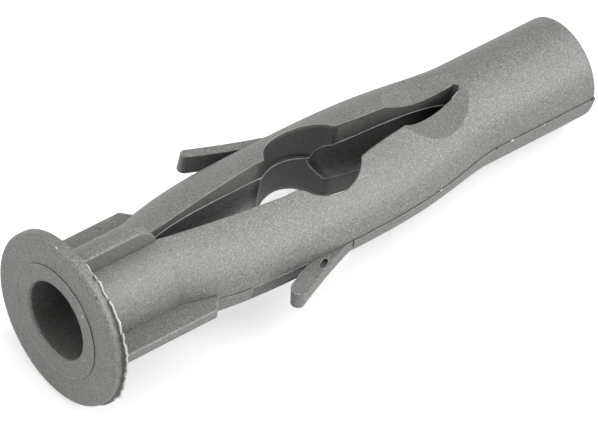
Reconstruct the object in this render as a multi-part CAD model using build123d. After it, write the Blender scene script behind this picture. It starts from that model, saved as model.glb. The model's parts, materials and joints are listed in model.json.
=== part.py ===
from build123d import *
import math
import os

# Wall plug, moulded in one piece. It is drawn along its own axis, with X from the collar's front face to the
# tip, Y towards the barbs and Z towards the slots, and then laid down on the collar's lip and the tip.
# All sizes are in millimetres.

# Lengths from the collar's front face
overall_length = 50.0
collar_thickness = 0.95
sleeve_end = 8.6
tip_start = 39.6

# Collar
collar_radius = 7.1
collar_edge_round = 0.36
boss_radius = 4.67
boss_height = 0.08

# Uneven lip of flash round the collar's back edge: where each stretch starts and ends, from Y to Z, and
# its height. The lip is missing at the lowest point, so the plug rests on two ends of it.
flash_width = 0.08
flash_gap_deg = 24.0
flash_rest_height = 0.2
flash_stretches = [
    (111.0, 114.0, 0.24),
    (114.0, 127.5, 0.12),
    (127.5, 150.0, 0.22),
    (150.0, 154.0, 0.38),
    (154.0, 176.0, 0.32),
    (176.0, 192.0, 0.26),
    (192.0, 270.0 - flash_gap_deg / 2, flash_rest_height),
    (270.0 + flash_gap_deg / 2, 340.0, flash_rest_height),
]

# Outside of the body: round at both ends, and wider across the barbs in the middle
sleeve_radius = 4.2
tip_radius = 4.22
tip_edge_round = 0.3
mould_step = 0.1
body_height = 4.1
shoulder_x = 12.0
shoulder_width = 5.08
barrel_start = 16.5
barrel_start_width = 5.66
barrel_x = 24.6
barrel_width = 5.82
barrel_end = 31.0
barrel_end_width = 5.6
neck_x = 35.8
neck_width = 4.88

# Screw channel: round in the collar and the tip, and flatter behind the slots
bore_radius = 3.2
bore_mouth_round = 0.3
channel_x = 15.0
channel_width = 3.2
channel_height = 3.05
chamber_x = 21.5
chamber_width = 3.2
chamber_height = 2.35
throat_x = 28.5
throat_width = 2.85
throat_height = 2.35
tail_x = 33.5
tail_width = 2.25
tail_height = 2.5
tip_bore_start = 38.6
tip_bore_radius = 1.6
tip_bore_mouth = 1.3

# Slots through the top and the bottom, with a round window in the middle
slot_start = 8.7
slot_start_width = 0.74
slot_flare = 12.5
slot_flare_width = 2.0
slot_mid = 16.3
slot_mid_width = 3.05
slot_wide = 20.0
slot_wide_width = 3.88
window_x = 24.3
window_radius = 3.78
window_shift_x = 0.1
window_shift_y = 0.22
slot_shoulder = 27.3
slot_shoulder_width = 3.8
slot_taper = 28.6
slot_taper_width = 3.3
slot_narrow = 32.3
slot_narrow_width = 2.4
slot_tail = 36.2
slot_tail_width = 1.56
slot_end = 38.75
slot_end_width = 0.84

# Hollow round the end of each slot
hollow_x = 35.6
hollow_length = 6.7
hollow_floor = 3.05

# Ribs behind the collar
rib_width = 0.95
side_rib_reach = 6.1
side_rib_end = 11.7
side_rib_slope = 1.1
slot_rib_reach = 5.85
slot_rib_end = 8.8
slot_rib_round = 2.3
rib_edge_round = 0.18

# Barbs, each by its outer edge: how far along the plug and how far out from the barrel's widest side.
# The two came out of the mould a little different.
barb_height = 1.6
barb_draft_deg = 5.0
barb_lean_deg = 23.0
barb_root = 25.0
barb_root_out = -0.48
barb_bend = 21.2
barb_bend_out = 0.82
upper_barb_tip = 17.95
upper_barb_tip_out = 2.14
upper_barb_thickness = 1.08
lower_barb_tip = 17.5
lower_barb_tip_out = 2.34
lower_barb_thickness = 1.35

# Small pit in the lower barb's flat face
pit_x = 20.7
pit_out = 0.58
pit_length = 1.15
pit_width = 0.5
pit_depth = 0.35
pit_turn_deg = -30.0

# Pockets that the barbs fold into
pocket_start = 14.55
pocket_end = 22.3
pocket_depth = 0.6
pocket_clearance = 0.1


def ellipse_at(x, half_width, half_height):
    """Elliptical section across the axis."""
    plane = Plane(origin=(x, 0, 0), x_dir=(0, 1, 0), z_dir=(1, 0, 0))
    return plane * Ellipse(half_width, half_height)


def rod(radius, start, end):
    """Round length of the body along its axis."""
    plane = Plane(origin=(start, 0, 0), x_dir=(0, 1, 0), z_dir=(1, 0, 0))
    return extrude(plane * Circle(radius), amount=end - start)


def outside():
    """The unslotted outside, from the collar to the tip, with its two mould halves slightly out of line."""
    barrel = loft(
        [
            ellipse_at(sleeve_end, sleeve_radius, sleeve_radius),
            ellipse_at(shoulder_x, shoulder_width, body_height),
            ellipse_at(barrel_start, barrel_start_width, body_height),
            ellipse_at(barrel_x, barrel_width, body_height),
            ellipse_at(barrel_end, barrel_end_width, body_height),
            ellipse_at(neck_x, neck_width, body_height),
            ellipse_at(tip_start, tip_radius, tip_radius),
        ]
    )
    sleeve = rod(sleeve_radius, collar_thickness / 2, sleeve_end)
    tip = rod(tip_radius, tip_start, overall_length)
    tip = fillet(tip.edges().sort_by(Axis.X)[-1], tip_edge_round)
    whole = sleeve + barrel + tip
    upper = split(whole, Plane.XY, keep=Keep.TOP)
    lower = split(whole, Plane.XY, keep=Keep.BOTTOM)
    return Pos(0, mould_step / 2, 0) * upper + Pos(0, -mould_step / 2, 0) * lower


def collar():
    """Thin flange with a rounded front edge and a low boss round the bore."""
    with BuildPart() as made:
        with BuildSketch(Plane.XY):
            with BuildLine():
                rim = Polyline(
                    (0, 0),
                    (-boss_height, 0),
                    (-boss_height, boss_radius),
                    (0, boss_radius),
                    (0, collar_radius - collar_edge_round),
                )
                edge = JernArc(rim @ 1, (0, 1), collar_edge_round, -90)
                Polyline(edge @ 1, (collar_thickness, collar_radius), (collar_thickness, 0), (0, 0))
            make_face()
        revolve(axis=Axis.X)
    return made.part


def flash(start_deg, end_deg, height):
    """One stretch of the thin lip that the mould left round the collar's back edge."""
    lip = Polyline(
        (collar_thickness - flash_width, collar_radius - flash_width),
        (collar_thickness - flash_width, collar_radius),
        (collar_thickness - flash_width / 2, collar_radius + height),
        (collar_thickness, collar_radius + height),
        (collar_thickness, collar_radius - flash_width),
        close=True,
    )
    return Rot(start_deg, 0, 0) * revolve(make_face(lip), axis=Axis.X, revolution_arc=end_deg - start_deg)


def collar_with_flash():
    """The flange and its lip."""
    flange = collar()
    for start_deg, end_deg, height in flash_stretches:
        flange += flash(start_deg, end_deg, height)
    return flange


def side_rib():
    """Long rib towards the barbs, cut off at a slope."""
    outline = make_face(
        Polyline(
            (collar_thickness / 2, 0),
            (collar_thickness / 2, side_rib_reach),
            (side_rib_end - side_rib_slope, side_rib_reach),
            (side_rib_end, side_rib_reach - side_rib_slope),
            (side_rib_end, 0),
            close=True,
        )
    )
    rib = extrude(outline, amount=rib_width / 2, both=True)
    ridge = rib.edges().filter_by(lambda e: e.center().Y > side_rib_reach - side_rib_slope)
    return fillet(ridge, rib_edge_round)


def slot_rib():
    """Short rib in line with a slot, with a round nose."""
    outline = make_face(
        Polyline(
            (collar_thickness / 2, 0),
            (collar_thickness / 2, slot_rib_reach),
            (slot_rib_end, slot_rib_reach),
            (slot_rib_end, 0),
            close=True,
        )
    )
    rib = extrude(outline, amount=rib_width / 2, both=True)
    nose = rib.edges().filter_by(Axis.Z).sort_by(lambda e: e.center().X + e.center().Y)[-1]
    rib = fillet(nose, slot_rib_round)
    ridge = rib.edges().filter_by(lambda e: e.center().Y > slot_rib_reach - slot_rib_round * 0.9)
    return Rot(90, 0, 0) * fillet(ridge, rib_edge_round)


def channel():
    """The space for the screw, from the collar to the tip."""
    chamber = loft(
        [
            ellipse_at(sleeve_end, bore_radius, bore_radius),
            ellipse_at(channel_x, channel_width, channel_height),
            ellipse_at(chamber_x, chamber_width, chamber_height),
            ellipse_at(throat_x, throat_width, throat_height),
            ellipse_at(tail_x, tail_width, tail_height),
            ellipse_at(tip_bore_start, tip_bore_radius, tip_bore_radius),
        ]
    )
    bore = rod(bore_radius, -boss_height, sleeve_end)
    tip_plane = Plane(origin=(tip_bore_start, 0, 0), x_dir=(0, 1, 0), z_dir=(1, 0, 0))
    from_tip = (Align.CENTER, Align.CENTER, Align.MIN)
    tip_length = overall_length - tip_bore_start
    tip_bore = tip_plane * Cone(tip_bore_radius, tip_bore_mouth, tip_length, align=from_tip)
    return bore + chamber + tip_bore


def slot(shift_x, shift_y):
    """One slot, cut from the parting plane upwards, with a round window that may sit a little off centre."""
    with BuildSketch() as plan:
        with BuildLine():
            flare = Spline(
                (slot_start, slot_start_width / 2),
                (slot_flare, slot_flare_width / 2),
                (slot_mid, slot_mid_width / 2),
                (slot_wide, slot_wide_width / 2),
            )
            shoulder = Line(flare @ 1, (slot_shoulder, slot_shoulder_width / 2))
            taper = Spline(
                shoulder @ 1,
                (slot_taper, slot_taper_width / 2),
                (slot_narrow, slot_narrow_width / 2),
                (slot_tail, slot_tail_width / 2),
                (slot_end - slot_end_width / 2, slot_end_width / 2),
            )
            nose = CenterArc((slot_end - slot_end_width / 2, 0), slot_end_width / 2, 0, 90)
            Polyline(nose @ 0, (slot_start, 0), flare @ 0)
        make_face()
        mirror(about=Plane.XZ)
        with Locations((window_x + shift_x, shift_y)):
            Circle(window_radius)
    return extrude(plan.sketch, amount=2 * collar_radius)


def hollow():
    """Round cutter whose side hollows the body round the end of a slot."""
    rise = body_height - hollow_floor
    radius = ((hollow_length / 2) ** 2 + rise**2) / (2 * rise)
    plane = Plane(origin=(hollow_x, 0, hollow_floor + radius), x_dir=(1, 0, 0), z_dir=(0, 1, 0))
    return extrude(plane * Circle(radius), amount=collar_radius, both=True)


def barb(tip, tip_out, thickness):
    """One barb: a slim blade on the parting plane that bends away from the barrel and ends round."""
    middle = barrel_width - thickness / 2 / math.cos(math.radians(barb_lean_deg))
    with BuildSketch() as plan:
        with BuildLine():
            spine = ThreePointArc(
                (barb_root, middle + barb_root_out),
                (barb_bend, middle + barb_bend_out),
                (tip, middle + tip_out),
            )
        SlotArc(arc=spine, height=thickness)
    return extrude(plan.sketch, amount=barb_height, taper=barb_draft_deg)


def pit():
    """Small sunk mark in the flat face of a barb, close to its outer edge."""
    plan = Pos(pit_x, barrel_width + pit_out) * SlotOverall(pit_length, pit_width, rotation=pit_turn_deg)
    return extrude(plan, amount=pit_depth)


def pocket():
    """The recess in the barrel that the barb folds into."""
    floor = barrel_width - pocket_depth
    plan = make_face(
        Polyline(
            (pocket_start, floor),
            (pocket_start, floor + 2 * pocket_depth),
            (pocket_end, floor + 2 * pocket_depth),
            (pocket_end, floor),
            close=True,
        )
    )
    return extrude(plan, amount=barb_height + pocket_clearance)


def half_turn(tool):
    """The same feature on the other side of the axis."""
    return Rot(180, 0, 0) * tool


def plug():
    """The whole moulding."""
    body = outside()
    body -= pocket() + half_turn(pocket())
    body += barb(upper_barb_tip, upper_barb_tip_out, upper_barb_thickness)
    body += half_turn(barb(lower_barb_tip, lower_barb_tip_out, lower_barb_thickness) - pit())
    body += side_rib() + half_turn(side_rib())
    body += slot_rib() + half_turn(slot_rib())
    body -= hollow() + half_turn(hollow())
    body += collar_with_flash()
    body -= channel()
    body -= slot(window_shift_x, window_shift_y) + half_turn(slot(0, 0))
    mouth = body.edges().filter_by(GeomType.CIRCLE).group_by(Axis.X)[0].sort_by(SortBy.LENGTH)[0]
    return fillet(mouth, bore_mouth_round)


def lay_down(part):
    """Tip the plug until both its collar and its tip touch the ground."""
    rest_radius = (collar_radius + flash_rest_height) * math.cos(math.radians(flash_gap_deg / 2))
    run = overall_length - tip_edge_round - collar_thickness
    pitch = math.degrees(math.asin((rest_radius - tip_radius) / run))
    lying = Rot(0, pitch, 0) * part
    box = lying.bounding_box()
    centre = box.center()
    return Pos(-centre.X, -centre.Y, -box.min.Z) * lying


os.makedirs("parts", exist_ok=True)
wall_plug = lay_down(plug())
export_step(wall_plug, "parts/wall_plug.step")
print("solids", len(wall_plug.solids()), "volume", round(wall_plug.volume, 1))
print("box", wall_plug.bounding_box())
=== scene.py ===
# %% [markdown]
# # A grey nylon wall plug on a pale table
# The plug is one moulding: a sleeve with a collar, a slotted barrel that a screw spreads, two barbs
# and a plain tip. It could be modelled again here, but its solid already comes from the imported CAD
# part, so it stays as it is and where it is. What Blender adds is what makes it look moulded: the
# eroded mould's fine grain, the thin flash along the edges where two parts of the mould met, the
# specks in the plastic, and a soft studio light.

import json
import math
from functools import partial

import bmesh
import bpy
import numpy as np
from mathutils import Matrix, Vector


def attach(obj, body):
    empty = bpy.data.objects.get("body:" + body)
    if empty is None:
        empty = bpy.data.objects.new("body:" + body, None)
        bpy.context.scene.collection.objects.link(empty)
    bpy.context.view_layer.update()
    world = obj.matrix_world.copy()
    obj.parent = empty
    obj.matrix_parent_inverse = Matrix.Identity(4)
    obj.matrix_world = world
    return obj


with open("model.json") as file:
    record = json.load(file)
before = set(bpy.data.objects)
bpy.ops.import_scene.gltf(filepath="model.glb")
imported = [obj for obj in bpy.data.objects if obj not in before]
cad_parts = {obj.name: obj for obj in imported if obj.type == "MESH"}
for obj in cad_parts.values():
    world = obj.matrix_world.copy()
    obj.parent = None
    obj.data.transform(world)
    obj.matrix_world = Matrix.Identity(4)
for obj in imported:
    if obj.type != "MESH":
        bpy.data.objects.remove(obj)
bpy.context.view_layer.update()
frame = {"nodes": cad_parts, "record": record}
scene = bpy.context.scene
print("frame nodes:", sorted(frame["nodes"]))

# %% [markdown]
# ## The plug's own axes
# The plug lies on its collar and its tip, so its axis slopes a little. Everything that is added
# follows that axis, so it's easier to think in the plug's own directions: X from the collar to the
# tip, Y towards a barb, Z towards the upper slot. The slope could be typed in as an angle, but then
# it would have to be kept the same in two files. The bore's mount in the part's record gives it.

# %% Plug axes from the bore's mount
MM = 0.001
MOUTH_TO_MIDDLE = 4.41 * MM

bore = next(m for m in frame["record"]["mounts"] if m["kind"] == "bore")
axis_x = -Vector(bore["axis"])
axis_y = Vector((0, 1, 0))
axis_z = axis_x.cross(axis_y)
mouth = Vector(bore["pos_m"]) - axis_x * MOUTH_TO_MIDDLE
plug_to_world = Matrix.Translation(mouth) @ Matrix((axis_x, axis_y, axis_z)).transposed().to_4x4()
world_to_plug = plug_to_world.inverted()
print("slope of the axis, degrees:", round(math.degrees(math.asin(-axis_x.z)), 2))

# %% [markdown]
# ## The camera
# A product photograph like this one is taken from far away with a long lens, which is why the
# collar and the tip look almost the same size. A parallel view would come close, but it loses the
# last bit of narrowing. The camera stands half a metre off with a lens of nearly 400 mm, looks down
# at about 48 degrees, and leans a few degrees to one side.

# %% Camera
CAMERA_PLACE = Vector((-0.22746, -0.24625, 0.37297))
CAMERA_LOOK = Vector((0.45427, 0.49496, -0.74071))
CAMERA_LEAN = math.radians(-5.136)
LENS_MM = 391.3
SENSOR_MM = 36
NEAREST, FARTHEST = 0.05, 5


def facing(direction):
    """The turn that points a camera's or a lamp's front along a direction, with its top up."""
    return direction.to_track_quat("-Z", "Y").to_matrix().to_4x4()


camera_data = bpy.data.cameras.new("camera")
camera_data.lens = LENS_MM
camera_data.sensor_width = SENSOR_MM
camera_data.clip_start = NEAREST
camera_data.clip_end = FARTHEST
camera = bpy.data.objects.new("camera", camera_data)
turn = facing(CAMERA_LOOK) @ Matrix.Rotation(-CAMERA_LEAN, 4, "Z")
camera.matrix_world = Matrix.Translation(CAMERA_PLACE) @ turn
scene.collection.objects.link(camera)
scene.camera = camera
print("camera looks down, degrees:", round(math.degrees(math.asin(-CAMERA_LOOK.z)), 1))

# %% [markdown]
# ## Soft light
# A product table has soft panels all round, so there is no hard shadow. One big lamp overhead would
# be simpler, but the barrel's near side would go dark. So four panels stand in an arc in front of
# the plug's near side, from low to high, and lay a broad, soft highlight along the barrel. Four
# others, to the right, to the left, behind and overhead, round the shape off, and the world's even
# grey fills the rest. Each strength was found by rendering its panel alone and fitting the sum.

# %% Lights
PLUG_MIDDLE = Vector((0, 0, 0.005))
PANEL_AWAY = 0.5
PANEL_SIZE = 0.2
PANELS = {
    "front_panel": ((0.45, -0.57, 0.68), 0.42),
    "front_high_panel": ((0.25, -0.40, 0.88), 0.35),
    "front_low_panel": ((0.10, -0.90, 0.35), 0.38),
    "front_right_panel": ((0.60, -0.70, 0.35), 0.44),
    "right_panel": ((0.80, 0.00, 0.60), 0.41),
    "left_panel": ((-0.90, 0.10, 0.40), 0.17),
    "back_panel": ((-0.50, 0.60, 0.60), 0.52),
    "overhead_panel": ((0.00, 0.00, 1.00), 0.36),
}
WORLD_GLOW = 0.41


def panel(name, towards, watts):
    """A square soft panel that stands in one direction from the plug and faces it."""
    data = bpy.data.lights.new(name, "AREA")
    data.shape = "SQUARE"
    data.size = PANEL_SIZE
    data.energy = watts
    lamp = bpy.data.objects.new(name, data)
    place = PLUG_MIDDLE + PANEL_AWAY * Vector(towards).normalized()
    lamp.matrix_world = Matrix.Translation(place) @ facing(PLUG_MIDDLE - place)
    scene.collection.objects.link(lamp)


for name, (towards, watts) in PANELS.items():
    panel(name, towards, watts)
print("panels:", sorted(PANELS), "watts:", round(sum(watts for _, watts in PANELS.values()), 2))

world = bpy.data.worlds.new("studio")
world.use_nodes = True
world.node_tree.nodes["Background"].inputs["Color"].default_value = (1, 1, 1, 1)
world.node_tree.nodes["Background"].inputs["Strength"].default_value = WORLD_GLOW
scene.world = world
scene.view_settings.view_transform = "Standard"

# %% [markdown]
# ## The table
# The table is a plain pale sheet. Lighting it until it turns white would burn out the plug as well.
# So the camera sees white paper with a little glow of its own, on which the plug stands out as in a
# catalogue and its soft shadow stays faint. To the plug it is an ordinary pale sheet, which sends
# light back up to the underside. Light Path tells the two apart.

# %% Table
TABLE_HALF = 1.5
PAPER_SEEN, GLOW_SEEN = 0.93, 0.42
PAPER_SENT_BACK, GLOW_SENT_BACK = 0.55, 0.2

floor_mesh = bpy.data.meshes.new("table")
corners = [(x * TABLE_HALF, y * TABLE_HALF, 0) for x, y in ((-1, -1), (1, -1), (1, 1), (-1, 1))]
floor_mesh.from_pydata(corners, [], [(0, 1, 2, 3)])
floor = bpy.data.objects.new("table", floor_mesh)
scene.collection.objects.link(floor)


def paper_sheet(tree, grey, strength):
    """A matte grey sheet with a white glow of its own."""
    sheet = tree.nodes.new("ShaderNodeBsdfDiffuse")
    sheet.inputs["Color"].default_value = (grey, grey, grey, 1)
    glow = tree.nodes.new("ShaderNodeEmission")
    glow.inputs["Strength"].default_value = strength
    lit = tree.nodes.new("ShaderNodeAddShader")
    tree.links.new(sheet.outputs[0], lit.inputs[0])
    tree.links.new(glow.outputs[0], lit.inputs[1])
    return lit.outputs[0]


paper = bpy.data.materials.new("table_paper")
paper.use_nodes = True
paper_tree = paper.node_tree
paper_tree.nodes.clear()
paper_out = paper_tree.nodes.new("ShaderNodeOutputMaterial")
path = paper_tree.nodes.new("ShaderNodeLightPath")
choose = paper_tree.nodes.new("ShaderNodeMixShader")
sent_back = paper_sheet(paper_tree, PAPER_SENT_BACK, GLOW_SENT_BACK)
seen = paper_sheet(paper_tree, PAPER_SEEN, GLOW_SEEN)
for source, socket in (
    (path.outputs["Is Camera Ray"], choose.inputs[0]),
    (sent_back, choose.inputs[1]),
    (seen, choose.inputs[2]),
    (choose.outputs[0], paper_out.inputs["Surface"]),
):
    paper_tree.links.new(source, socket)
floor_mesh.materials.append(paper)
print("table, metres across:", 2 * TABLE_HALF)

# %% [markdown]
# ## Small helpers for node trees
# The grain, the dark places and the flash are all made with node trees, and every tree needs named
# sockets, maths nodes, noise, and ramps from 0 to 1. They could be written out each time. A few
# short functions keep the trees below readable.

# %% Helpers: sockets, maths, noise and ramps
NOISE_MIDDLE = 0.5


def new_socket(tree, name, kind, way, value=None):
    """Gives a node tree a named input or output."""
    socket = tree.interface.new_socket(name=name, in_out=way, socket_type=kind)
    if value is not None:
        socket.default_value = value


def add_math(tree, kind, *fed):
    """A maths node, fed by numbers or by other nodes' outputs."""
    node = tree.nodes.new("ShaderNodeMath")
    node.operation = kind
    for socket, value in zip(node.inputs, fed):
        if isinstance(value, (int, float)):
            socket.default_value = value
        else:
            tree.links.new(value, socket)
    return node.outputs[0]


def add_noise(tree, place, scale, detail, rough=0.5):
    """Noise at a place, with as many waves to the metre as another node's output says."""
    node = tree.nodes.new("ShaderNodeTexNoise")
    node.inputs["Detail"].default_value = detail
    node.inputs["Roughness"].default_value = rough
    tree.links.new(place, node.inputs["Vector"])
    tree.links.new(scale, node.inputs["Scale"])
    return node


def add_ramp(tree, value, none, full):
    """0 where the value is at or past none, 1 at or past full, and even in between."""
    node = tree.nodes.new("ShaderNodeMapRange")
    node.inputs["From Min"].default_value = none
    node.inputs["From Max"].default_value = full
    tree.links.new(value, node.inputs["Value"])
    return node.outputs["Result"]


# %% [markdown]
# ## Moulded grain, as a group
# The steel mould was eroded by sparks, which leaves a fine, even grain about a tenth of a
# millimetre across on all of the nylon. On top of it the plastic has faint clouds of lighter and
# darker grey and here and there a dark speck, and bright glints are painted into the colour as
# highlights where a grain would catch the light. A picture of such a surface would repeat and blur,
# while noise in the plug's own metres stays sharp at any distance. The moulding and its flash both
# need it, so it's one group with named inputs. It gives back a shade to multiply the colour with,
# a height for the bump, and a roughness.

# %% Spots: dark specks, and bright glints painted in as highlights
SPECKS_PER_METRE, SPECK_EDGE, SPECK_SOLID = 290, 0.055, 0.03
PAINTED_GLINTS_PER_METRE, PAINTED_GLINT_EDGE, PAINTED_GLINT_SOLID = 4400, 0.34, 0.12


def add_spots(tree, place, cells_per_metre, edge, solid):
    """Round spots, one in each cell that the surface passes near the middle of.

    Edge and solid are how far a spot and its full middle reach, as a share of a cell.
    """
    cells = tree.nodes.new("ShaderNodeTexVoronoi")
    cells.inputs["Scale"].default_value = cells_per_metre
    tree.links.new(place, cells.inputs["Vector"])
    return add_ramp(tree, cells.outputs["Distance"], edge, solid)


# %% Group: moulded grain
MM_IN_METRE = 1000
PITS_TO_GRAIN = 0.37
PIT_SHADE_SHARE = 0.4
PIT_HEIGHT_SHARE = 0.8
PIT_ROUGHNESS = 0.3


def make_grain_group():
    """Builds the group once, for every nylon."""
    group = bpy.data.node_groups.new("moulded_grain", "ShaderNodeTree")
    new_socket(group, "Place", "NodeSocketVector", "INPUT")
    for name, value in (
        ("Grain size mm", 0.075), ("Grain shade", 0.5), ("Cloud size mm", 3.0),
        ("Cloud shade", 0.06), ("Speck shade", 0.0), ("Painted glint shade", 0.0), ("Roughness", 0.45),
    ):
        new_socket(group, name, "NodeSocketFloat", "INPUT", value)
    for name in ("Shade", "Height", "Roughness"):
        new_socket(group, name, "NodeSocketFloat", "OUTPUT")
    given = group.nodes.new("NodeGroupInput").outputs
    result = group.nodes.new("NodeGroupOutput").inputs
    maths = partial(add_math, group)

    grain_scale = maths("DIVIDE", MM_IN_METRE, given["Grain size mm"])
    cloud_scale = maths("DIVIDE", MM_IN_METRE, given["Cloud size mm"])
    pit_scale = maths("MULTIPLY", grain_scale, PITS_TO_GRAIN)
    grain, pits, cloud = (
        add_noise(group, given["Place"], scale, detail, rough).outputs["Fac"]
        for scale, detail, rough in (
            (grain_scale, 2.0, 0.6), (pit_scale, 3.0, 0.55), (cloud_scale, 3.0, 0.5),
        )
    )
    grain_swing, pit_swing, cloud_swing = (
        maths("SUBTRACT", noise, NOISE_MIDDLE) for noise in (grain, pits, cloud)
    )

    pit_shade = maths("MULTIPLY", given["Grain shade"], PIT_SHADE_SHARE)
    grain_part = maths("MULTIPLY", grain_swing, given["Grain shade"])
    pit_part = maths("MULTIPLY", pit_swing, pit_shade)
    cloud_part = maths("MULTIPLY", cloud_swing, given["Cloud shade"])
    shade = maths("ADD", 1.0, maths("ADD", maths("ADD", grain_part, pit_part), cloud_part))

    specks = add_spots(group, given["Place"], SPECKS_PER_METRE, SPECK_EDGE, SPECK_SOLID)
    # Painted highlight: the glints lighten the colour itself, as if a grain caught the light.
    painted_glints = add_spots(group, given["Place"], PAINTED_GLINTS_PER_METRE, PAINTED_GLINT_EDGE, PAINTED_GLINT_SOLID)
    dark = maths("MULTIPLY", specks, given["Speck shade"])
    light = maths("MULTIPLY", painted_glints, given["Painted glint shade"])
    spotted = maths("MULTIPLY", maths("ADD", 1.0, light), maths("SUBTRACT", 1.0, dark))

    height = maths("ADD", grain, maths("MULTIPLY", pits, PIT_HEIGHT_SHARE))
    rough = maths("ADD", given["Roughness"], maths("MULTIPLY", pit_swing, PIT_ROUGHNESS))
    group.links.new(maths("MULTIPLY", shade, spotted), result["Shade"])
    group.links.new(height, result["Height"])
    group.links.new(rough, result["Roughness"])
    return group


grain_group = make_grain_group()
print("grain group sockets:", [s.name for s in grain_group.interface.items_tree])

# %% [markdown]
# ## Painted shade in closed places, as a group
# Light hardly gets out of the slots, the bore and the corners, and their colour is darkened there as
# painted shade, on top of the shade the render itself gives. Painting the places by hand would tie
# the shade to single faces of the mesh. Ambient Occlusion, kept to the object itself, finds them
# from the shape. The round window's wall and the floors of the pockets under the barbs get more
# painted shade still, so the group turns the place into the plug's own axes and picks them out: the
# wall is what lies near the window and inside the barrel's ellipse, and a pocket's floor is a flat
# plane.

# %% Masks for the painted shade on the window's wall and the pockets' floors, with sizes in mm
BARREL_START, BARREL_LENGTH = 8.6, 31
BARREL_END_HALF, BARREL_BULGE = 4.2, 1.62
BARREL_HALF_HEIGHT = 4.1
SKIN_SHARE, INNER_SHARE = 0.98, 0.92
WINDOW_X, WINDOW_RADIUS = 24.3, 3.78
WINDOW_FADE_END, WINDOW_FADE_START = 0.6, 0.3
POCKET_START, POCKET_END, POCKET_FADE = 14.5, 22.4, 0.1
POCKET_FLOOR, OFF_FLOOR, ON_FLOOR = 5.22, 0.06, 0.03


def add_length(tree, a, b):
    """The length of the vector with these two parts."""
    squares = [add_math(tree, "MULTIPLY", part, part) for part in (a, b)]
    return add_math(tree, "SQRT", add_math(tree, "ADD", *squares))


def window_painted_shade_mask(tree, x, y, z):
    """1 on the wall of the round window, fading out just past it and at the barrel's skin."""
    maths = partial(add_math, tree)
    along_barrel = maths("MULTIPLY", maths("SUBTRACT", x, BARREL_START), math.pi / BARREL_LENGTH)
    bulge = maths("MULTIPLY", maths("SINE", along_barrel), BARREL_BULGE)
    half_width = maths("ADD", BARREL_END_HALF, bulge)
    y_share, z_share = maths("DIVIDE", y, half_width), maths("DIVIDE", z, BARREL_HALF_HEIGHT)
    inside = add_ramp(tree, add_length(tree, y_share, z_share), SKIN_SHARE, INNER_SHARE)
    from_middle = add_length(tree, maths("SUBTRACT", x, WINDOW_X), y)
    fade = (WINDOW_RADIUS + WINDOW_FADE_END, WINDOW_RADIUS + WINDOW_FADE_START)
    return maths("MULTIPLY", add_ramp(tree, from_middle, *fade), inside)


def pocket_painted_shade_mask(tree, x, y, z):
    """1 on the flat floor of each barb's pocket, which lies where Y and Z have the same sign."""
    maths = partial(add_math, tree)
    off_floor = maths("ABSOLUTE", maths("SUBTRACT", maths("ABSOLUTE", y), POCKET_FLOOR))
    starts = add_ramp(tree, x, POCKET_START - POCKET_FADE, POCKET_START)
    ends = add_ramp(tree, x, POCKET_END + POCKET_FADE, POCKET_END)
    on_floor = add_ramp(tree, off_floor, OFF_FLOOR, ON_FLOOR)
    on_side = add_ramp(tree, maths("MULTIPLY", y, z), 0.0, POCKET_FADE)
    return maths("MULTIPLY", maths("MULTIPLY", starts, ends), maths("MULTIPLY", on_floor, on_side))


# %% Group: painted shade in closed places
HOLLOW_REACH = 8 * MM
HOLLOW_SAMPLES = 8


def make_painted_shade_group():
    """Gives back a painted shade that is 1 in the open and lower in closed places."""
    group = bpy.data.node_groups.new("painted_shade_places", "ShaderNodeTree")
    new_socket(group, "Place", "NodeSocketVector", "INPUT")
    for name in ("Hollow painted shade", "Window painted shade", "Pocket painted shade"):
        new_socket(group, name, "NodeSocketFloat", "INPUT")
    new_socket(group, "Shade", "NodeSocketFloat", "OUTPUT")
    given = group.nodes.new("NodeGroupInput").outputs
    result = group.nodes.new("NodeGroupOutput").inputs
    maths = partial(add_math, group)

    from_mouth = group.nodes.new("ShaderNodeVectorMath")
    from_mouth.operation = "SUBTRACT"
    from_mouth.inputs[1].default_value = mouth
    group.links.new(given["Place"], from_mouth.inputs[0])

    def along(axis):
        """The place along one of the plug's axes, in mm."""
        node = group.nodes.new("ShaderNodeVectorMath")
        node.operation = "DOT_PRODUCT"
        node.inputs[1].default_value = axis / MM
        group.links.new(from_mouth.outputs[0], node.inputs[0])
        return node.outputs["Value"]

    x, y, z = along(axis_x), along(axis_y), along(axis_z)

    # Painted shade: the colour darkens where Ambient Occlusion finds the shape closed in, and more
    # on the window's wall and the pockets' floors.
    hollow = group.nodes.new("ShaderNodeAmbientOcclusion")
    hollow.samples = HOLLOW_SAMPLES
    hollow.only_local = True
    hollow.inputs["Distance"].default_value = HOLLOW_REACH
    shade = 1.0
    for mask, name in (
        (maths("SUBTRACT", 1.0, hollow.outputs["AO"]), "Hollow painted shade"),
        (window_painted_shade_mask(group, x, y, z), "Window painted shade"),
        (pocket_painted_shade_mask(group, x, y, z), "Pocket painted shade"),
    ):
        darker = maths("MULTIPLY", mask, given[name])
        shade = maths("MULTIPLY", shade, maths("SUBTRACT", 1.0, darker))
    group.links.new(shade, result["Shade"])
    return group


painted_shade_group = make_painted_shade_group()
print("closed places sockets:", [s.name for s in painted_shade_group.interface.items_tree])

# %% [markdown]
# ## Four finishes of the same nylon
# The body is a neutral grey with a touch of warmth, quite rough. The flash is the same nylon
# squeezed out paper-thin, but its colour is painted much paler than the body's, as a painted
# highlight along the edges, and palest in the lip round the collar. The groove finish is nearly
# black: painted shade in the inner corners, and the colour of the burnt specks. One finish with
# painted colours could hold all four, but as separate materials each piece keeps its own. Each is
# a Principled shader that takes its colour, roughness and bump from the grain group. No mould has
# a perfectly sharp edge, so a Bevel node rounds the normals of every edge by about a tenth of a
# millimetre, without a change to the solid's mesh.

# %% Nylon
EDGE_ROUND = 0.12 * MM
EDGE_SAMPLES = 6
NYLON_IOR = 1.53
NYLON_SHINE = 1.0


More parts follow.
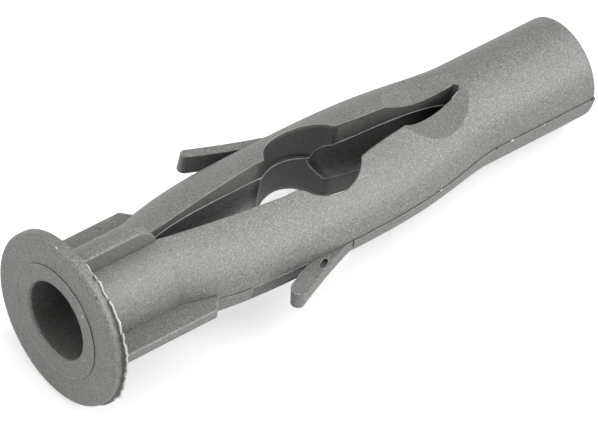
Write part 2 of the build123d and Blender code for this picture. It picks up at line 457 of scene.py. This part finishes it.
def place_group(material, group, place, values):
    """A group node in a material, with its place linked and its own values set."""
    node = material.node_tree.nodes.new("ShaderNodeGroup")
    node.node_tree = group
    for name, value in values.items():
        node.inputs[name].default_value = value
    material.node_tree.links.new(place, node.inputs["Place"])
    return node.outputs


def make_nylon(name, colour, bump_mm, grain_values, painted_shade_values=None):
    """A matte nylon with moulded grain and softened edges, and painted shade in closed places if
    given.
    """
    material = bpy.data.materials.new(name)
    material.use_nodes = True
    nodes, links = material.node_tree.nodes, material.node_tree.links
    shader = nodes["Principled BSDF"]
    place = nodes.new("ShaderNodeTexCoord").outputs["Object"]
    grain = place_group(material, grain_group, place, grain_values)
    shade = grain["Shade"]
    if painted_shade_values:
        closed = place_group(material, painted_shade_group, place, painted_shade_values)
        shade = add_math(material.node_tree, "MULTIPLY", shade, closed["Shade"])
    tint = nodes.new("ShaderNodeVectorMath")
    tint.operation = "SCALE"
    tint.inputs[0].default_value = colour
    links.new(shade, tint.inputs["Scale"])

    soft = nodes.new("ShaderNodeBevel")
    soft.samples = EDGE_SAMPLES
    soft.inputs["Radius"].default_value = EDGE_ROUND
    bump = nodes.new("ShaderNodeBump")
    bump.inputs["Strength"].default_value = 1.0
    bump.inputs["Distance"].default_value = bump_mm * MM
    links.new(grain["Height"], bump.inputs["Height"])
    links.new(soft.outputs["Normal"], bump.inputs["Normal"])

    links.new(tint.outputs["Vector"], shader.inputs["Base Color"])
    links.new(grain["Roughness"], shader.inputs["Roughness"])
    links.new(bump.outputs["Normal"], shader.inputs["Normal"])
    shader.inputs["IOR"].default_value = NYLON_IOR
    shader.inputs["Specular IOR Level"].default_value = NYLON_SHINE
    return material


# %% The four finishes, and the body's
BODY_GREY = (0.200, 0.200, 0.189)
BODY_GRAIN = {"Grain shade": 3.0, "Speck shade": 0.5, "Painted glint shade": 0.5, "Roughness": 0.42}
# Painted shade: how far the body's colour darkens in hollows, on the window's wall and on the
# pockets' floors.
BODY_PAINTED_SHADE = {"Hollow painted shade": 0.75, "Window painted shade": 0.65, "Pocket painted shade": 0.4}
BODY_BUMP_MM = 0.014
FLASH_BUMP_MM = 0.006

nylon = make_nylon("grey_nylon", BODY_GREY, BODY_BUMP_MM, BODY_GRAIN, BODY_PAINTED_SHADE)
# The flash and lip colours are painted highlights; the nearly black groove colour is painted shade.
flash_painted_highlight_nylon, lip_and_fleck_painted_highlight_nylon, speck_and_groove_painted_shade_nylon = (
    make_nylon(name, colour, FLASH_BUMP_MM, {"Roughness": roughness})
    for name, colour, roughness in (
        ("flash_painted_highlight_nylon", (0.46, 0.458, 0.441), 0.45),
        ("lip_and_fleck_painted_highlight_nylon", (0.68, 0.677, 0.655), 0.4),
        ("speck_and_groove_painted_shade_nylon", (0.055, 0.055, 0.051), 0.6),
    )
)

body = frame["nodes"]["wall_plug"]
body.data.materials.clear()
body.data.materials.append(nylon)
print("finishes:", [m.name for m in (nylon, flash_painted_highlight_nylon, lip_and_fleck_painted_highlight_nylon, speck_and_groove_painted_shade_nylon)])

# %% [markdown]
# ## Where the mould's parts met
# A mould closes along lines, and a little nylon creeps into each: along the plug's sides, round
# the boss, the collar, the pit and the barbs, on the rims of the slots, on the ledge round the
# window, and where the slots meet the screw channel. In the inner corners beside the parting line,
# round the boss and at the ribs' roots, dark beads are laid instead, as painted shade. Lines drawn
# by hand would never lie exactly there. These are edges of the solid itself, so a copy of its mesh
# is merged, its sharp edges are found, and each is sorted by where it lies in the plug's own axes.

# %% Sizes that tell the lines apart, in mm
FACE_DEPTH, NEAR_BOSS, BOSS_RADIUS = 0.1, 0.1, 4.67
COLLAR_BACK_FROM, COLLAR_BACK_TO = 0.7, 1.1
COLLAR_RADIUS, ON_COLLAR = 7.1, 0.04
LIP_LOWEST_Z, EDGE_FARTHEST_Y = -0.55 * COLLAR_RADIUS, -1.0
SLEEVE_START, RIBS_END = 0.94, 12
ROOT_FROM, ROOT_TO = 4, 5.4
SIDES_START, ON_PARTING, SLOT_REACH = 9, 0.03, 4.05
PIT_X, PIT_Y, PIT_REACH = 20.7, -6.4, 0.62
NEAR_BARREL, BARB_REACH = 0.35, 7.85
SLOT_START, SLOT_END = 8.9, 38.9
RIM_SHARE, RIM_LOWEST_Z = 0.93, 0.3
HOLLOW_START, HOLLOW_SIDE, HOLLOW_FLOOR, NEAR_FLOOR = 32.1, 1.35, 3.05, 0.3
BARREL_X = (8.6, 12, 16.5, 24.6, 31, 35.8, 39.6)
BARREL_HALF_WIDTHS = (4.2, 5.08, 5.66, 5.82, 5.6, 4.88, 4.22)


def body_half_width(x):
    """Half the barrel's width at x, in mm, from the sections of the moulding."""
    return float(np.interp(x, BARREL_X, BARREL_HALF_WIDTHS))


print("barrel's width at the window, mm:", round(2 * body_half_width(WINDOW_X), 2))

# %% Which line an edge belongs to
def side_kind(x, y, convex):
    """The line for a point on the parting plane, at the plug's sides."""
    if math.hypot(x - PIT_X, y - PIT_Y) < PIT_REACH:
        return "pit"
    if abs(y) - body_half_width(x) < NEAR_BARREL:
        return "parting" if convex else "groove"
    return "barb" if convex and abs(y) < BARB_REACH else None


def slot_kind(x, y, z, convex):
    """The line for a point in or on a slot. The outline of the hollow round its end has none."""
    out = math.hypot(y / body_half_width(x), z / BARREL_HALF_HEIGHT)
    if x > HOLLOW_START and abs(y) > HOLLOW_SIDE and out > RIM_SHARE:
        return None
    if x > HOLLOW_START and abs(abs(z) - HOLLOW_FLOOR) < NEAR_FLOOR:
        return "soft rim"
    if out > RIM_SHARE and abs(z) > RIM_LOWEST_Z:
        return "rim" if y * z > 0 else "soft rim"
    if abs(z) < ON_PARTING:
        return "ledge" if convex else None
    return "channel"


def line_kind(x, y, z, convex):
    """The mould line that a point on a sharp edge belongs to, or nothing."""
    from_axis = math.hypot(y, z)
    if x < FACE_DEPTH and abs(from_axis - BOSS_RADIUS) < NEAR_BOSS:
        return "boss" if convex else "boss groove"
    on_collar = COLLAR_BACK_FROM < x < COLLAR_BACK_TO and from_axis > COLLAR_RADIUS - ON_COLLAR
    if on_collar and z > LIP_LOWEST_Z:
        if from_axis > COLLAR_RADIUS + ON_COLLAR:
            return "collar lip"
        return "collar edge" if convex and y < EDGE_FARTHEST_Y else None
    if SLEEVE_START < x < RIBS_END and not convex and ROOT_FROM < from_axis < ROOT_TO:
        return "rib root"
    if x > SIDES_START and abs(z) < ON_PARTING and abs(y) > SLOT_REACH:
        return side_kind(x, y, convex)
    if SLOT_START < x < SLOT_END and abs(y) <= SLOT_REACH:
        return slot_kind(x, y, z, convex)
    return None


# %% Sharp edges of the solid, sorted
SHARP = math.radians(32)
SAME_POINT = 2e-7
COLLAR_CORNER_DEPTH = 0.1
KINDS = (
    "boss", "boss groove", "collar lip", "collar edge", "rib root", "pit", "barb", "parting",
    "groove", "rim", "soft rim", "ledge", "channel",
)


def in_collar_corner(ends, convex):
    """Whether an edge is an inner corner on the collar's back, where no two mould parts meet."""
    behind_face = ends[0].x > FACE_DEPTH
    before_ribs = max(end.x for end in ends) < SLEEVE_START + COLLAR_CORNER_DEPTH
    return behind_face and before_ribs and not convex


merged = bmesh.new()
merged.from_mesh(body.data)
bmesh.ops.remove_doubles(merged, verts=merged.verts, dist=SAME_POINT)
mould_lines = {kind: [] for kind in KINDS}
for edge in merged.edges:
    if edge.calc_face_angle(0) < SHARP:
        continue
    ends = [world_to_plug @ v.co / MM for v in edge.verts]
    if in_collar_corner(ends, edge.is_convex):
        continue
    middle = (ends[0] + ends[1]) / 2
    kinds = {line_kind(*point, edge.is_convex) for point in (*ends, middle)}
    if len(kinds) == 1 and None not in kinds:
        mould_lines[kinds.pop()].append([v.co.copy() for v in edge.verts])
merged.free()
for kind, lines in mould_lines.items():
    length = sum((start - end).length for start, end in lines)
    print(kind, "edges:", len(lines), "length mm:", round(length / MM, 1))

# %% [markdown]
# ## Flash along the lines
# Each line becomes a thin bead. A curve with a round bevel would give an even wire, and flash isn't
# even. So a Geometry Nodes tree turns a mesh of bare edges into curves, evens out their points,
# wanders a few hundredths of a millimetre off the line, swells and thins along it, and sweeps a
# small six-sided profile. It's the same tree for all of the lines, with its sizes as named inputs.

# %% Tree: flash bead
PROFILE_SIDES = 6


def wandering_curve(tree, given):
    """Even curves that wander off their edges, and how thick the bead is along them."""
    nodes, links = tree.nodes, tree.links
    curve = nodes.new("GeometryNodeMeshToCurve")
    even = nodes.new("GeometryNodeResampleCurve")
    even.mode = "LENGTH"
    links.new(given["Lines"], curve.inputs["Mesh"])
    links.new(curve.outputs["Curve"], even.inputs["Curve"])
    links.new(given["Step"], even.inputs["Length"])

    place = nodes.new("GeometryNodeInputPosition").outputs[0]
    jitter = add_noise(tree, place, given["Swells per metre"], 1.0)
    centred = nodes.new("ShaderNodeVectorMath")
    centred.operation = "SUBTRACT"
    centred.inputs[1].default_value = (NOISE_MIDDLE, NOISE_MIDDLE, NOISE_MIDDLE)
    links.new(jitter.outputs["Color"], centred.inputs[0])
    offset = nodes.new("ShaderNodeVectorMath")
    offset.operation = "SCALE"
    links.new(centred.outputs[0], offset.inputs[0])
    links.new(given["Wander"], offset.inputs["Scale"])
    moved = nodes.new("GeometryNodeSetPosition")
    links.new(even.outputs["Curve"], moved.inputs["Geometry"])
    links.new(offset.outputs[0], moved.inputs["Offset"])

    swing = add_math(tree, "SUBTRACT", jitter.outputs["Fac"], NOISE_MIDDLE)
    size = add_math(tree, "MULTIPLY_ADD", swing, given["Swell"], 1.0)
    return moved.outputs[0], add_math(tree, "MULTIPLY", size, given["Radius"])


def make_bead_tree():
    """Edges in, irregular beads out."""
    tree = bpy.data.node_groups.new("flash_bead", "GeometryNodeTree")
    new_socket(tree, "Lines", "NodeSocketGeometry", "INPUT")
    for name in ("Radius", "Step", "Wander", "Swell", "Swells per metre"):
        new_socket(tree, name, "NodeSocketFloat", "INPUT")
    new_socket(tree, "Finish", "NodeSocketMaterial", "INPUT")
    new_socket(tree, "Beads", "NodeSocketGeometry", "OUTPUT")
    nodes, links = tree.nodes, tree.links
    given = nodes.new("NodeGroupInput").outputs
    result = nodes.new("NodeGroupOutput").inputs
    line, radius = wandering_curve(tree, given)

    profile = nodes.new("GeometryNodeCurvePrimitiveCircle")
    profile.inputs["Resolution"].default_value = PROFILE_SIDES
    profile.inputs["Radius"].default_value = 1.0
    sweep = nodes.new("GeometryNodeCurveToMesh")
    sweep.inputs["Fill Caps"].default_value = True
    smooth = nodes.new("GeometryNodeSetShadeSmooth")
    real = nodes.new("GeometryNodeRealizeInstances")
    finish = nodes.new("GeometryNodeSetMaterial")
    for source, socket in (
        (line, sweep.inputs["Curve"]),
        (profile.outputs["Curve"], sweep.inputs["Profile Curve"]),
        (radius, sweep.inputs["Scale"]),
        (sweep.outputs["Mesh"], smooth.inputs["Geometry"]),
        (smooth.outputs[0], real.inputs[0]),
        (real.outputs[0], finish.inputs["Geometry"]),
        (given["Finish"], finish.inputs["Material"]),
        (finish.outputs[0], result["Beads"]),
    ):
        links.new(source, socket)
    return tree


bead_tree = make_bead_tree()
print("flash bead sockets:", [s.name for s in bead_tree.interface.items_tree])

# %% From a list of edges to a piece
WANDER_MM = 0.02
SWELL = 0.8
STEP_MM = 0.25
SWELLS_PER_METRE = 900.0


def wire_mesh(name, lines):
    """Bare edges in a mesh, joined where their ends meet."""
    wire = bpy.data.meshes.new(name)
    points = [point for line in lines for point in line]
    wire.from_pydata(points, [(i, i + 1) for i in range(0, len(points), 2)], [])
    build = bmesh.new()
    build.from_mesh(wire)
    bmesh.ops.remove_doubles(build, verts=build.verts, dist=SAME_POINT)
    build.to_mesh(wire)
    build.free()
    return wire


def beads(
    name, lines, radius_mm, wander_mm=WANDER_MM, swell=SWELL, step_mm=STEP_MM,
    finish=flash_painted_highlight_nylon, swells_per_metre=SWELLS_PER_METRE,
):
    """Runs the tree on a list of edges and keeps the result as a plain mesh on the plug."""
    source = bpy.data.objects.new(name + "_source", wire_mesh(name + "_lines", lines))
    scene.collection.objects.link(source)
    modifier = source.modifiers.new("beads", "NODES")
    modifier.node_group = bead_tree
    sockets = {s.name: s.identifier for s in bead_tree.interface.items_tree if s.in_out == "INPUT"}
    for socket_name, value in (
        ("Radius", radius_mm * MM),
        ("Step", step_mm * MM),
        ("Wander", wander_mm * MM),
        ("Swell", swell),
        ("Swells per metre", swells_per_metre),
        ("Finish", finish),
    ):
        modifier[sockets[socket_name]] = value
    evaluated = source.evaluated_get(bpy.context.evaluated_depsgraph_get())
    made = bpy.data.meshes.new_from_object(evaluated)
    made.name = name
    bpy.data.objects.remove(source)
    piece = bpy.data.objects.new(name, made)
    scene.collection.objects.link(piece)
    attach(piece, "root")
    print(name, "faces:", len(made.polygons))


# %% [markdown]
# ## The beads themselves
# The flash is thickest where two steel parts slide past each other, in the screw channel and round
# the collar, and thinnest on the soft rims. One bead of one size on every line would look like a
# drawn outline, so each line gets its own thickness and swell. The collar's lip is torn and ragged:
# it wanders up to a quarter of a millimetre to either side, in short waves. The pale flash beads
# carry a painted highlight along the edges. The grooves take dark beads that lie sunk in the
# corner, as painted shade.

# %% Beads
beads("channel_flash", mould_lines["channel"], 0.045, swell=1.2)
beads("ledge_flash", mould_lines["ledge"], 0.04, swell=1.2)
beads("rim_flash", mould_lines["rim"], 0.03, swell=1.2)
beads("soft_rim_flash", mould_lines["soft rim"], 0.015)
beads("boss_lip", mould_lines["boss"], 0.035, wander_mm=0.01, swell=1.5)
# Painted shade: a dark bead in the inner corner round the boss.
beads("boss_groove_painted_shade", mould_lines["boss groove"], 0.045, swell=1.8, finish=speck_and_groove_painted_shade_nylon)
RAGGED = {"swell": 1.9, "step_mm": 0.15, "finish": lip_and_fleck_painted_highlight_nylon, "swells_per_metre": 1400.0}
beads("collar_flash", mould_lines["collar lip"], 0.065, wander_mm=0.5, **RAGGED)
beads("collar_edge_flash", mould_lines["collar edge"], 0.055, wander_mm=0.25, **RAGGED)
# Painted shade: dark beads at the ribs' roots.
beads("rib_roots_painted_shade", mould_lines["rib root"], 0.04, wander_mm=0.05, swell=1.8, finish=speck_and_groove_painted_shade_nylon)
beads("parting_flash", mould_lines["parting"], 0.025, swell=1.5)
# Painted shade: a dark bead in the corner beside the parting line.
PAINTED_SHADE_BEAD = {"wander_mm": 0.12, "swell": 1.9, "step_mm": 0.18, "finish": speck_and_groove_painted_shade_nylon}
beads("parting_groove_painted_shade", mould_lines["groove"], 0.06, **PAINTED_SHADE_BEAD)
beads("pit_rim", mould_lines["pit"], 0.03)
beads("barb_flash", mould_lines["barb"], 0.025, swell=1.5)

# %% [markdown]
# ## Small blemishes
# A moulding straight from the box has a few: a nub where the parting line ends at the tip, pale
# flecks of torn flash on the barb, the boss, the collar's edge and the parting line, and dark burnt
# specks. Spots in the material could stand in for them, but these stand proud of the surface. Each
# is a very short line in the plug's own axes that goes through the same tree, with a finer step so
# that it becomes a small lump.

# %% Blemishes
BLEMISH_SIZES = {"wander_mm": 0.04, "swell": 1.8, "step_mm": 0.04}
TIP_NUB = [((49.62, -4.25, 0.0), (49.84, -4.28, 0.02))]
PALE_FLECKS = [
    ((17.02, -7.88, 0.0), (17.14, -7.86, 0.0)),
    ((-0.08, -2.90, 3.30), (-0.08, -3.02, 3.05)),
    ((0.12, 1.10, 6.90), (0.16, 0.85, 6.93)),
    ((41.2, -4.24, 0.02), (41.5, -4.24, 0.02)),
    ((44.6, -4.23, -0.06), (44.75, -4.23, -0.06)),
    ((33.1, -5.36, 0.02), (33.3, -5.33, 0.02)),
]
DARK_SPECKS = [
    ((39.70, -4.26, 0.0), (39.86, -4.26, 0.0)),
    ((21.44, -5.01, 2.01), (21.50, -5.01, 2.03)),
    ((24.05, -5.86, 0.10), (24.12, -5.86, -0.55)),
    ((28.9, -5.60, 0.9), (28.94, -5.60, 0.92)),
]


def blemishes(name, places, radius_mm, finish):
    """Short lines, given by their two ends in the plug's own millimetres, made into lumps."""
    lines = [[plug_to_world @ (Vector(end) * MM) for end in ends] for ends in places]
    beads(name, lines, radius_mm, finish=finish, **BLEMISH_SIZES)


blemishes("tip_nub", TIP_NUB, 0.14, nylon)
blemishes("pale_flecks", PALE_FLECKS, 0.07, lip_and_fleck_painted_highlight_nylon)
blemishes("dark_specks", DARK_SPECKS, 0.06, speck_and_groove_painted_shade_nylon)
